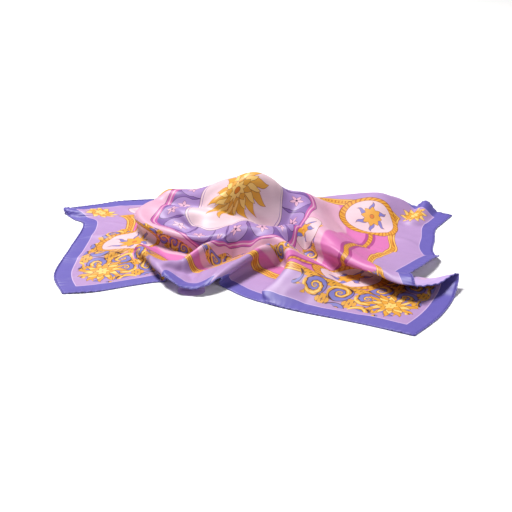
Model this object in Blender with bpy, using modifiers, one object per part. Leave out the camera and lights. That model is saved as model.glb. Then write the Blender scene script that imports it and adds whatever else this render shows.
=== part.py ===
"""A silk square scarf, dropped on a table in a loose heap.

One thin square of silk is worked out by function: a flat outline with four edges, over which a
table of folds raises the cloth and leans it, so that rolls hang over the cloth in front of them.
A rolled hem runs along each edge, and the layers crushed out of sight lie in one rounded bundle
under the highest part.  Metres, +Z up, origin at the bottom centre of the bounding box.
"""
import math

import bmesh
import bpy
import numpy as np

# ---------------------------------------------------------------- driving dimensions, metres
WALL = 0.0012            # thickness of the cloth
GAP = 0.0004             # clearance between pieces that meet
HEM_RADIUS = 0.0010      # half the thickness of the rolled hem
HEM_LIFT = 0.0001        # how far a hem stays off the table
GRID = 84                # cloth cells along each edge
CLOTH_FACES = 4700
CREASE_POWER = 4.0       # how sharply two folds meet; larger is sharper
PATH_STEPS = 80          # samples along the crest of a fold
PATH_BLUR = 0.012        # softening of a crest's bends
LEAN_FROM = 0.14         # share of a fold's height where its lean begins,
LEAN_TO = 0.80           # and where it is complete
BEND_SHARE = 0.006       # metres of thread that one radian of bend counts as
SLOPE_STEP = 0.0005      # step in plan for working out which way the cloth faces
PATH_SAMPLES = 24        # samples between two rows of a path, before they are spaced evenly
EDGE_STEPS = 400         # points along each edge of the outline
TINY = 1e-30             # keeps divisions off zero
SILK_COLOUR = (0.55, 0.33, 0.62)
HEM_COLOUR = (0.16, 0.12, 0.48)

# The outline of the flat cloth, corner to corner.  Columns: x, y.
EDGES = {
    "front": [
        (-0.363, -0.142), (-0.305, -0.134), (-0.241, -0.109), (-0.190, -0.092), (-0.160, -0.098),
        (-0.140, -0.124), (-0.121, -0.141), (-0.098, -0.131), (-0.073, -0.106), (-0.024, -0.152),
        (0.024, -0.185), (0.085, -0.216), (0.147, -0.242), (0.205, -0.268), (0.274, -0.303),
    ],
    "right": [
        (0.274, -0.303), (0.306, -0.265), (0.334, -0.226), (0.362, -0.172), (0.384, -0.110),
        (0.384, -0.045), (0.362, 0.041), (0.374, 0.105), (0.385, 0.160), (0.405, 0.195),
        (0.436, 0.243),
    ],
    "back": [
        (-0.4285, 0.284), (-0.357, 0.309), (-0.285, 0.334), (-0.150, 0.345), (0.000, 0.350),
        (0.150, 0.340), (0.250, 0.322), (0.338, 0.303), (0.386, 0.275), (0.436, 0.243),
    ],
    "left": [
        (-0.363, -0.142), (-0.393, -0.060), (-0.384, 0.0585), (-0.3745, 0.186), (-0.402, 0.222),
        (-0.428, 0.258), (-0.4285, 0.284),
    ],
}

# The folds, each a path along its crest.  Columns: x, y and height of the crest where it ends up,
# how far it has leant in x and in y, and its width on the near and on the far side, near being
# the right hand of the path's direction.
FOLDS = {
    "dome": [
        (-0.186, 0.247, 0.058, 0.000, 0.000, 0.060, 0.110),
        (-0.120, 0.220, 0.074, 0.000, 0.000, 0.080, 0.130),
        (-0.070, 0.210, 0.095, 0.000, 0.000, 0.090, 0.140),
        (-0.020, 0.200, 0.113, 0.000, 0.000, 0.100, 0.140),
        (0.020, 0.200, 0.107, 0.000, 0.000, 0.100, 0.140),
        (0.050, 0.200, 0.088, 0.000, 0.000, 0.110, 0.135),
        (0.075, 0.205, 0.070, 0.000, 0.000, 0.100, 0.125),
        (0.100, 0.212, 0.054, 0.000, 0.000, 0.080, 0.120),
    ],
    "dome_brow": [
        (-0.085, 0.150, 0.080, -0.002, -0.006, 0.050, 0.060),
        (-0.062, 0.160, 0.090, 0.000, -0.010, 0.050, 0.060),
        (-0.030, 0.168, 0.098, 0.000, -0.010, 0.050, 0.060),
        (0.013, 0.178, 0.098, 0.000, -0.008, 0.050, 0.060),
        (0.036, 0.179, 0.086, 0.000, -0.004, 0.050, 0.060),
    ],
    "dome_front": [
        (-0.190, 0.170, 0.050, 0.000, 0.000, 0.064, 0.090),
        (-0.150, 0.145, 0.058, 0.000, 0.000, 0.066, 0.090),
        (-0.105, 0.125, 0.061, 0.000, 0.000, 0.062, 0.090),
        (-0.060, 0.112, 0.055, 0.000, 0.000, 0.056, 0.080),
        (-0.025, 0.105, 0.047, 0.000, 0.000, 0.050, 0.070),
    ],
    "ledge": [
        (-0.110, 0.092, 0.043, 0.000, 0.000, 0.050, 0.060),
        (-0.060, 0.066, 0.049, 0.000, 0.000, 0.056, 0.080),
        (-0.012, 0.066, 0.050, 0.000, 0.000, 0.060, 0.090),
        (0.036, 0.058, 0.050, 0.000, 0.000, 0.060, 0.090),
        (0.074, 0.070, 0.050, 0.000, 0.000, 0.060, 0.080),
    ],
    "front_lip": [
        (-0.196, 0.240, 0.046, -0.004, 0.000, 0.054, 0.056),
        (-0.228, 0.212, 0.050, -0.012, 0.002, 0.040, 0.056),
        (-0.250, 0.170, 0.049, -0.018, 0.000, 0.032, 0.056),
        (-0.240, 0.126, 0.045, -0.020, -0.008, 0.030, 0.056),
        (-0.208, 0.092, 0.043, -0.014, -0.018, 0.030, 0.052),
        (-0.172, 0.066, 0.042, -0.010, -0.020, 0.030, 0.050),
        (-0.138, 0.047, 0.043, -0.004, -0.020, 0.030, 0.046),
        (-0.105, 0.037, 0.044, 0.002, -0.016, 0.028, 0.044),
        (-0.080, 0.036, 0.046, 0.002, -0.010, 0.028, 0.044),
        (-0.062, 0.034, 0.046, 0.000, -0.004, 0.032, 0.044),
    ],
    "flap_left": [
        (-0.237, 0.042, 0.021, -0.004, -0.002, 0.030, 0.034),
        (-0.212, -0.026, 0.030, -0.018, -0.002, 0.025, 0.036),
        (-0.180, -0.094, 0.030, -0.022, -0.006, 0.023, 0.038),
        (-0.152, -0.138, 0.020, -0.014, -0.006, 0.022, 0.036),
    ],
    "flap_top": [
        (-0.164, -0.056, 0.022, 0.000, 0.000, 0.030, 0.030),
        (-0.133, -0.035, 0.036, 0.004, -0.004, 0.028, 0.030),
        (-0.097, -0.004, 0.050, 0.006, -0.006, 0.030, 0.034),
        (-0.070, 0.020, 0.046, 0.000, 0.000, 0.030, 0.034),
    ],
    "flap_right": [
        (-0.108, -0.146, 0.015, 0.004, -0.006, 0.022, 0.040),
        (-0.084, -0.128, 0.026, 0.010, -0.010, 0.022, 0.048),
        (-0.061, -0.104, 0.034, 0.016, -0.014, 0.024, 0.050),
        (-0.031, -0.068, 0.040, 0.018, -0.016, 0.024, 0.044),
        (0.002, -0.027, 0.045, 0.012, -0.014, 0.026, 0.040),
        (0.028, -0.007, 0.045, 0.002, -0.004, 0.028, 0.036),
    ],
    "arch_right": [
        (0.010, 0.028, 0.044, 0.000, 0.000, 0.030, 0.040),
        (0.040, 0.022, 0.050, 0.004, -0.004, 0.030, 0.040),
        (0.057, -0.010, 0.050, -0.010, -0.004, 0.022, 0.050),
        (0.063, -0.054, 0.047, -0.020, 0.000, 0.022, 0.070),
        (0.061, -0.090, 0.042, -0.024, 0.000, 0.022, 0.080),
        (0.049, -0.120, 0.031, -0.022, 0.002, 0.022, 0.080),
        (0.022, -0.148, 0.013, -0.014, 0.000, 0.022, 0.060),
    ],
    "front_panel": [
        (0.076, -0.088, 0.040, -0.018, 0.000, 0.040, 0.034),
        (0.100, -0.106, 0.035, -0.010, 0.002, 0.065, 0.034),
        (0.127, -0.126, 0.027, -0.002, 0.002, 0.080, 0.032),
        (0.160, -0.138, 0.017, 0.000, 0.002, 0.070, 0.030),
        (0.199, -0.150, 0.007, 0.000, 0.000, 0.060, 0.028),
    ],
    "big_roll": [
        (0.075, 0.235, 0.050, 0.000, 0.000, 0.100, 0.090),
        (0.100, 0.190, 0.056, -0.004, -0.002, 0.095, 0.085),
        (0.114, 0.125, 0.057, -0.008, -0.004, 0.085, 0.080),
        (0.128, 0.055, 0.056, -0.014, -0.008, 0.070, 0.085),
        (0.150, -0.003, 0.052, -0.015, -0.010, 0.055, 0.090),
        (0.175, -0.048, 0.045, -0.024, -0.024, 0.046, 0.095),
        (0.205, -0.084, 0.039, -0.036, -0.042, 0.045, 0.095),
        (0.238, -0.117, 0.038, -0.060, -0.072, 0.052, 0.090),
        (0.268, -0.142, 0.039, -0.086, -0.094, 0.066, 0.080),
        (0.292, -0.150, 0.043, -0.098, -0.100, 0.078, 0.077),
    ],
    "back_panel": [
        (0.110, 0.240, 0.038, 0.000, 0.000, 0.130, 0.050),
        (0.166, 0.275, 0.033, 0.000, 0.000, 0.130, 0.045),
        (0.220, 0.280, 0.037, 0.000, 0.000, 0.130, 0.045),
        (0.279, 0.280, 0.040, 0.000, 0.000, 0.120, 0.045),
        (0.312, 0.285, 0.026, 0.000, 0.000, 0.080, 0.040),
    ],
    "tip_wave": [
        (0.345, 0.200, 0.008, 0.000, 0.000, 0.030, 0.030),
        (0.365, 0.235, 0.018, 0.000, 0.000, 0.030, 0.030),
        (0.382, 0.275, 0.026, 0.000, 0.000, 0.030, 0.030),
    ],
    "corner_pinch": [
        (-0.430, 0.262, 0.010, 0.000, -0.004, 0.020, 0.030),
        (-0.390, 0.248, 0.012, 0.000, -0.004, 0.020, 0.030),
        (-0.345, 0.262, 0.004, 0.000, 0.000, 0.020, 0.030),
    ],
    "left_crease": [
        (-0.330, 0.010, 0.003, 0.000, 0.000, 0.030, 0.030),
        (-0.290, 0.045, 0.007, 0.000, 0.000, 0.030, 0.030),
        (-0.245, 0.040, 0.012, 0.000, 0.000, 0.030, 0.030),
    ],
}

# The bundle of hidden layers: its middle and half sizes in plan, then its layers from the table
# up.  Columns: share of the half sizes, share of the height under the cloth.
BUNDLE_MIDDLE = np.array([-0.030, 0.200])
BUNDLE_SIZE = np.array([0.150, 0.076])
BUNDLE_SIDES = 28
BUNDLE_CLEAR = 0.0009    # under the cloth at its top
BUNDLE_LAYERS = [
    (1.000, 0.000), (1.020, 0.050), (1.000, 0.110), (0.940, 0.130), (0.955, 0.190),
    (0.930, 0.260), (0.860, 0.290), (0.875, 0.370), (0.840, 0.460), (0.760, 0.560),
    (0.640, 0.700), (0.480, 0.830), (0.300, 0.940), (0.140, 0.990),
]

# The lip under the open end of the front flap: its middle, half sizes and cells, and how far under
# the flap it stays where its back edge rises to it.
LIP_MIDDLE = (-0.122, -0.131)
LIP_SIZE = (0.026, 0.020)
LIP_CELLS = 10
LIP_CLEAR = 0.0008

# Places where all the layers stand off the table together.  Columns: x, y, radius, height.
LIFTS = [
    (0.378, -0.050, 0.060, 0.008), (0.395, -0.105, 0.070, 0.018),
]


# ---------------------------------------------------------------- curves and the flat cloth
def spline(rows, steps):
    """Points on a smooth curve through the rows, evenly spaced along it; any number of columns."""
    rows = np.array(rows, float)
    padded = np.vstack([2 * rows[0] - rows[1], rows, 2 * rows[-1] - rows[-2]])
    fine = []
    for a, b, c, d in zip(padded, padded[1:], padded[2:], padded[3:]):
        t = np.linspace(0, 1, PATH_SAMPLES, endpoint=False)[:, None]
        fine.append(0.5 * (2 * b + (c - a) * t + (2 * a - 5 * b + 4 * c - d) * t ** 2
                           + (3 * b - a - 3 * c + d) * t ** 3))
    fine = np.vstack(fine + [rows[-1:]])
    along = np.r_[0, np.cumsum(np.linalg.norm(np.diff(fine[:, :2], axis=0), axis=1))]
    wanted = np.linspace(0, along[-1], steps)
    return np.stack([np.interp(wanted, along, column) for column in fine.T], axis=1)


def flat_point(u, v):
    """Plan position of the flat cloth: u runs left to right and v front to back, each 0 to 1."""
    def on_edge(name, t):
        curve = EDGE_CURVES[name]
        where = np.clip(t, 0, 1) * (len(curve) - 1)
        return np.stack([np.interp(where, np.arange(len(curve)), c) for c in curve.T], axis=-1)

    u_, v_ = u[..., None], v[..., None]
    front, back = on_edge("front", u), on_edge("back", u)
    left, right = on_edge("left", v), on_edge("right", v)
    corners = (CORNERS["front left"] * (1 - u_) * (1 - v_) + CORNERS["front right"] * u_ * (1 - v_)
               + CORNERS["back left"] * (1 - u_) * v_ + CORNERS["back right"] * u_ * v_)
    return front * (1 - v_) + back * v_ + left * (1 - u_) + right * u_ - corners


EDGE_CURVES = {name: spline(rows, EDGE_STEPS) for name, rows in EDGES.items()}
CORNERS = {f"{edge} {side}": EDGE_CURVES[edge][end]
           for edge in ("front", "back") for side, end in (("left", 0), ("right", -1))}


# ---------------------------------------------------------------- the folds
def bell(s):
    """1 at the crest, 0 with no slope at the foot."""
    return np.clip(1 - s * s, 0, None) ** 2


def fold_field(points, rows):
    """Height and lean that one fold gives each plan point."""
    rows = np.array(rows)
    rows[:, :2] -= rows[:, 3:5]
    path = spline(rows, PATH_STEPS)
    foot, height, lean, near, far = path[:, :2], path[:, 2], path[:, 3:5], path[:, 5], path[:, 6]
    step = np.gradient(foot, axis=0)
    step /= np.linalg.norm(step, axis=1)[:, None]
    side = np.stack([step[:, 1], -step[:, 0]], axis=1)
    offset = points[:, None, :] - foot[None, :, :]
    squared = (offset ** 2).sum(-1)
    weight = np.exp(-(squared - squared.min(1, keepdims=True)) / PATH_BLUR ** 2)
    weight /= weight.sum(1, keepdims=True)
    across = (weight * (offset * side[None]).sum(-1)).sum(1)
    away = np.sqrt((weight * squared).sum(1) + TINY)
    nearness = (1 + np.clip(across / away, -1, 1)) / 2
    width = (weight @ far) * (1 - nearness) + (weight @ near) * nearness
    share = bell(away / width)
    carried = np.clip((share - LEAN_FROM) / (LEAN_TO - LEAN_FROM), 0, 1)
    carried = carried * carried * (3 - 2 * carried)
    return (weight @ height) * share, (weight @ lean) * carried[:, None]


def raised(plan):
    """Where the folds carry each plan point of the flat cloth: its upper surface in space."""
    points = plan.reshape(-1, 2)
    powers, shift = np.zeros(len(points)), np.zeros((len(points), 2))
    for rows in FOLDS.values():
        height, lean = fold_field(points, rows)
        power = height ** CREASE_POWER
        powers += power
        shift += power[:, None] * lean
    points = points + shift / np.maximum(powers, TINY)[:, None]
    level = WALL + powers ** (1 / CREASE_POWER)
    for x, y, radius, height in LIFTS:
        level += height * bell(np.hypot(points[:, 0] - x, points[:, 1] - y) / radius)
    return np.concatenate([points, level[:, None]], axis=1).reshape(*plan.shape[:-1], 3)


def facing(plan):
    """Unit vectors at right angles to the cloth, pointing up out of its upper side."""
    along_x = raised(plan + [SLOPE_STEP, 0]) - raised(plan - [SLOPE_STEP, 0])
    along_y = raised(plan + [0, SLOPE_STEP]) - raised(plan - [0, SLOPE_STEP])
    normal = np.cross(along_x, along_y)
    return normal / np.linalg.norm(normal, axis=-1, keepdims=True)


def thread_measure(place):
    """How much of each row's threads to give each step: its length, and more where it bends."""
    step = np.diff(place, axis=1)
    length = np.linalg.norm(step, axis=2)
    heading = step / length[..., None]
    turn = np.arccos(np.clip((heading[:, 1:] * heading[:, :-1]).sum(-1), -1, 1))
    turn = np.pad(turn, ((0, 0), (1, 1)))
    measure = length + BEND_SHARE * (turn[:, 1:] + turn[:, :-1]) / 2
    spread = np.pad(measure, ((1, 1), (0, 0)), mode="edge")
    return (spread[:-2] + 2 * spread[1:-1] + spread[2:]) / 4


def even_plan(cells):
    """A grid over the flat cloth whose threads end up evenly spaced, and closer where it bends."""
    u, v = np.meshgrid(np.linspace(0, 1, cells + 1), np.linspace(0, 1, cells + 1))
    for turned in (False, True) * 4:
        place = raised(flat_point(u, v))
        if turned:
            u, v, place = u.T.copy(), v.T.copy(), place.transpose(1, 0, 2)
        along = np.pad(np.cumsum(thread_measure(place), axis=1), ((0, 0), (1, 0)))
        for k, row in enumerate(along):
            even = np.linspace(0, row[-1], cells + 1)
            u[k], v[k] = np.interp(even, row, u[k]), np.interp(even, row, v[k])
        if turned:
            u, v = u.T, v.T
    return flat_point(u, v)


def mesh_object(name, mesh, material):
    """Links a mesh as one named sub-part with its material."""
    mesh.materials.append(material)
    mesh.shade_smooth()
    made = bpy.data.objects.new(name, mesh)
    SCARF.objects.link(made)
    return made


def sheet_mesh(name, points):
    """A grid of points as an open surface."""
    rows, columns = points.shape[:2]
    work = bmesh.new()
    verts = [work.verts.new(p) for p in points.reshape(-1, 3)]
    for r in range(rows - 1):
        for c in range(columns - 1):
            a = r * columns + c
            work.faces.new([verts[i] for i in (a, a + 1, a + columns + 1, a + columns)])
    mesh = bpy.data.meshes.new(name)
    work.to_mesh(mesh)
    work.free()
    return mesh


def plain_material(name, colour, roughness):
    """A Principled material of one colour."""
    made = bpy.data.materials.new(name)
    made.use_nodes = True
    shader = made.node_tree.nodes["Principled BSDF"]
    shader.inputs["Base Color"].default_value = (*colour, 1)
    shader.inputs["Roughness"].default_value = roughness
    return made


def build_cloth(points, material):
    """The silk square: the even grid, thinned where it is flat, with its wall."""
    cloth = mesh_object("silk_square", sheet_mesh("silk_square", points), material)
    rows, columns = points.shape[:2]
    inner = cloth.vertex_groups.new(name="inner")
    away_from_edges = [r * columns + c for r in range(1, rows - 1) for c in range(1, columns - 1)]
    inner.add(away_from_edges, 1, "REPLACE")
    thin = cloth.modifiers.new("thin", "DECIMATE")
    thin.ratio = CLOTH_FACES / (2 * (rows - 1) * (columns - 1))
    thin.vertex_group = "inner"
    thinned = cloth.evaluated_get(bpy.context.evaluated_depsgraph_get())
    cloth.data = bpy.data.meshes.new_from_object(thinned)
    cloth.modifiers.remove(thin)
    for vertex in cloth.data.vertices:
        vertex.co.z = max(vertex.co.z, WALL)
    wall = cloth.modifiers.new("wall", "SOLIDIFY")
    wall.thickness = WALL
    wall.offset = -1


def build_hem(name, edge, normals, hand, material):
    """A rolled hem: a tube that follows one edge of the cloth, moved out from its points."""
    along = np.gradient(edge, axis=0)
    along /= np.linalg.norm(along, axis=1)[:, None]
    out = np.pad(hand * np.cross(along, normals), ((1, 1), (0, 0)), mode="edge")
    out = out[:-2] + 2 * out[1:-1] + out[2:]
    out /= np.linalg.norm(out, axis=1)[:, None]
    line = edge - normals * WALL / 2 + out * (HEM_RADIUS + GAP)
    line[:, 2] = np.maximum(line[:, 2], HEM_RADIUS + HEM_LIFT)
    curve = bpy.data.curves.new(name, "CURVE")
    curve.dimensions = "3D"
    curve.bevel_depth = HEM_RADIUS
    curve.bevel_resolution = 1
    curve.use_fill_caps = True
    curve.materials.append(material)
    path = curve.splines.new("POLY")
    path.points.add(len(line) - 1)
    for point, place in zip(path.points, line):
        point.co = (*place, 1)
    SCARF.objects.link(bpy.data.objects.new(name, curve))


def build_hidden_layers(centre, material):
    """The layers crushed under the heap, as one rounded bundle that rests flat on the table."""
    turns = np.linspace(0, 2 * math.pi, BUNDLE_SIDES, endpoint=False)
    ring = np.stack([np.cos(turns), np.sin(turns)], axis=1) * BUNDLE_SIZE
    work = bmesh.new()
    rings = []
    for reach, share in BUNDLE_LAYERS:
        plan = BUNDLE_MIDDLE + ring * reach
        place = raised(plan) - facing(plan) * (WALL + BUNDLE_CLEAR)
        place[:, 2] *= share
        rings.append([work.verts.new(p - centre) for p in place])
    for lower, upper in zip(rings, rings[1:]):
        for k in range(BUNDLE_SIDES):
            n = (k + 1) % BUNDLE_SIDES
            work.faces.new([lower[k], lower[n], upper[n], upper[k]])
    work.faces.new(rings[0][::-1])
    top = np.array([BUNDLE_MIDDLE])
    peak = work.verts.new((raised(top) - facing(top) * (WALL + BUNDLE_CLEAR) - centre)[0])
    for k in range(BUNDLE_SIDES):
        work.faces.new([rings[-1][k], rings[-1][(k + 1) % BUNDLE_SIDES], peak])
    mesh = bpy.data.meshes.new("hidden_layers")
    work.to_mesh(mesh)
    work.free()
    mesh_object("hidden_layers", mesh, material)


def build_under_fold(centre, material):
    """The lower lip of the flap at the front: cloth that lies flat under the flap's open end."""
    steps = np.linspace(-1, 1, LIP_CELLS + 1)
    s, t = np.meshgrid(steps, steps)
    round_s, round_t = s * np.sqrt(1 - t * t / 2), t * np.sqrt(1 - s * s / 2)
    place = np.stack([LIP_MIDDLE[0] + LIP_SIZE[0] * round_s,
                      LIP_MIDDLE[1] + LIP_SIZE[1] * round_t], axis=-1)
    above = place.copy()
    for _ in range(40):
        above += 0.5 * (place - raised(above)[..., :2])
    room = raised(above)[..., 2] - WALL / facing(above)[..., 2] - LIP_CLEAR - WALL
    rise = np.clip(round_t, 0, 1)
    level = WALL + np.clip(room, 0, None) * rise * rise * (3 - 2 * rise)
    points = np.concatenate([place, level[..., None]], axis=-1)
    lip = mesh_object("under_fold", sheet_mesh("under_fold", points - centre), material)
    wall = lip.modifiers.new("wall", "SOLIDIFY")
    wall.thickness = WALL
    wall.offset = -1


for old in list(bpy.data.objects):
    bpy.data.objects.remove(old)
SCARF = bpy.data.collections.new("silk_scarf")
bpy.context.scene.collection.children.link(SCARF)
plan = even_plan(GRID)
surface = raised(plan)
lowest, highest = surface.reshape(-1, 3).min(0), surface.reshape(-1, 3).max(0)
centre = np.array([(lowest[0] + highest[0]) / 2, (lowest[1] + highest[1]) / 2, 0])
surface -= centre
normals = facing(plan)
silk = plain_material("silk", SILK_COLOUR, 0.38)
hem_silk = plain_material("hem_silk", HEM_COLOUR, 0.42)
build_cloth(surface, silk)
build_hem("hem_front", surface[0], normals[0], 1, hem_silk)
build_hem("hem_back", surface[-1], normals[-1], -1, hem_silk)
build_hem("hem_left", surface[:, 0], normals[:, 0], -1, hem_silk)
build_hem("hem_right", surface[:, -1], normals[:, -1], 1, hem_silk)
build_hidden_layers(centre, silk)
build_under_fold(centre, silk)
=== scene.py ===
"""Looks of the silk square scarf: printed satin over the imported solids, hand-rolled hems, light."""
import math

import bpy
import numpy as np
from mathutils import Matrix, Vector


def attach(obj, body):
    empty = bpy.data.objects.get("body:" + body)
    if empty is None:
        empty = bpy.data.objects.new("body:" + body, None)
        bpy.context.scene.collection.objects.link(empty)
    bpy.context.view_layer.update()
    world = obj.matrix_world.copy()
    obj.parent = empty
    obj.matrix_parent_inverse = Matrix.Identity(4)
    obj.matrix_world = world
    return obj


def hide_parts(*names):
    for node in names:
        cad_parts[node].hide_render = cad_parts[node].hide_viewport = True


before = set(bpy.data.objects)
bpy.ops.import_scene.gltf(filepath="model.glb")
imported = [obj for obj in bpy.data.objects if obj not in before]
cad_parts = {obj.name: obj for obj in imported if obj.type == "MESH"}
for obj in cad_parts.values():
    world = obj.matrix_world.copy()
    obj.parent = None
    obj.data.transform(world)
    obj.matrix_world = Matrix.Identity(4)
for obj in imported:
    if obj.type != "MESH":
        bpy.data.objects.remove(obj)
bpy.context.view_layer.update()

# ---------------------------------------------------------------- sizes, in metres or as stated
WALL = 0.0012            # thickness of the solid cloth
SHELL = 0.0005           # thickness of the cloth here
TABLE_CLEAR = 0.0001     # how far the thin pieces stay above the table
CENTRE = (0.00298, 0.02357, 0)   # what the CAD takes off, to stand on its box's bottom centre
COARSE = 56              # cells along each edge while the threads are evened out
EVEN_ROUNDS = 4          # times that the threads are evened out, along u and then along v
CELLS = 216              # cells along each edge of the finished cloth
THREAD_SOFTENING = 6     # passes over the threads after that
RELIEF_SOFTENING = 3     # passes over the directions in which the fine relief rises
SHELL_SOFTENING = 2      # passes over the directions in which the cloth is thick
CREASE_POWER = 4.0       # how sharply two folds meet; larger is sharper
PATH_STEPS = 80          # samples along the crest of a fold
PATH_BLUR = 0.012        # softening of a crest's bends
LEAN_FROM = 0.14         # share of a fold's height where its lean begins,
LEAN_TO = 0.80           # and where it is complete
BEND_SHARE = 0.006       # metres of thread that one radian of bend counts as
SLOPE_STEP = 0.0005      # step in plan for working out which way the cloth faces
PATH_SAMPLES = 24        # samples between two rows of a path, before they are spaced evenly
EDGE_STEPS = 400         # points along each edge of the outline
TINY = 1e-30             # keeps divisions off zero

# Where the middle of the printed design lies on the flat cloth (u, v), and metres of cloth along
# u and v there.
MIDDLE = (0.462, 0.612)
MIDDLE_SCALE = (0.90, 0.65)

TARGET = (-CENTRE[0], -CENTRE[1], 0.0)   # what the camera and the lamps point at
CAMERA_RISE = 25         # degrees above the table
CAMERA_AWAY = 2.0
CAMERA_LENS = 70         # mm, in front of a sensor this many mm wide
CAMERA_SENSOR = 36
CAMERA_SHIFT = 6 / 512   # upwards, as a share of the picture's width
FLOOR_HALF = 6
FLOOR_WHITE = (0.97, 0.97, 0.97, 1)
WORLD_WHITE = (0.97, 0.98, 1.0, 1)
WORLD_LIGHT = 0.12
# Soft lamps.  Columns: name, place, size, watts, colour.
LAMPS = [
    ("key_light", (-1.3, 1.7, 4.2), 1.7, 325, (1.0, 0.99, 0.98)),
    ("front_fill", (2.2, -3.0, 2.8), 2.4, 38, (1.0, 0.98, 1.0)),
]

# The outline of the flat cloth, corner to corner.  Columns: x, y.
EDGES = {
    "front": [
        (-0.363, -0.142), (-0.305, -0.134), (-0.241, -0.109), (-0.190, -0.092), (-0.160, -0.098),
        (-0.140, -0.124), (-0.121, -0.141), (-0.098, -0.131), (-0.073, -0.106), (-0.024, -0.152),
        (0.024, -0.185), (0.085, -0.216), (0.147, -0.242), (0.205, -0.268), (0.274, -0.303),
    ],
    "right": [
        (0.274, -0.303), (0.306, -0.265), (0.334, -0.226), (0.362, -0.172), (0.384, -0.110),
        (0.384, -0.045), (0.362, 0.041), (0.374, 0.105), (0.385, 0.160), (0.405, 0.195),
        (0.436, 0.243),
    ],
    "back": [
        (-0.4285, 0.284), (-0.357, 0.309), (-0.285, 0.334), (-0.150, 0.345), (0.000, 0.350),
        (0.150, 0.340), (0.250, 0.322), (0.338, 0.303), (0.386, 0.275), (0.436, 0.243),
    ],
    "left": [
        (-0.363, -0.142), (-0.393, -0.060), (-0.384, 0.0585), (-0.3745, 0.186), (-0.402, 0.222),
        (-0.428, 0.258), (-0.4285, 0.284),
    ],
}

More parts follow.
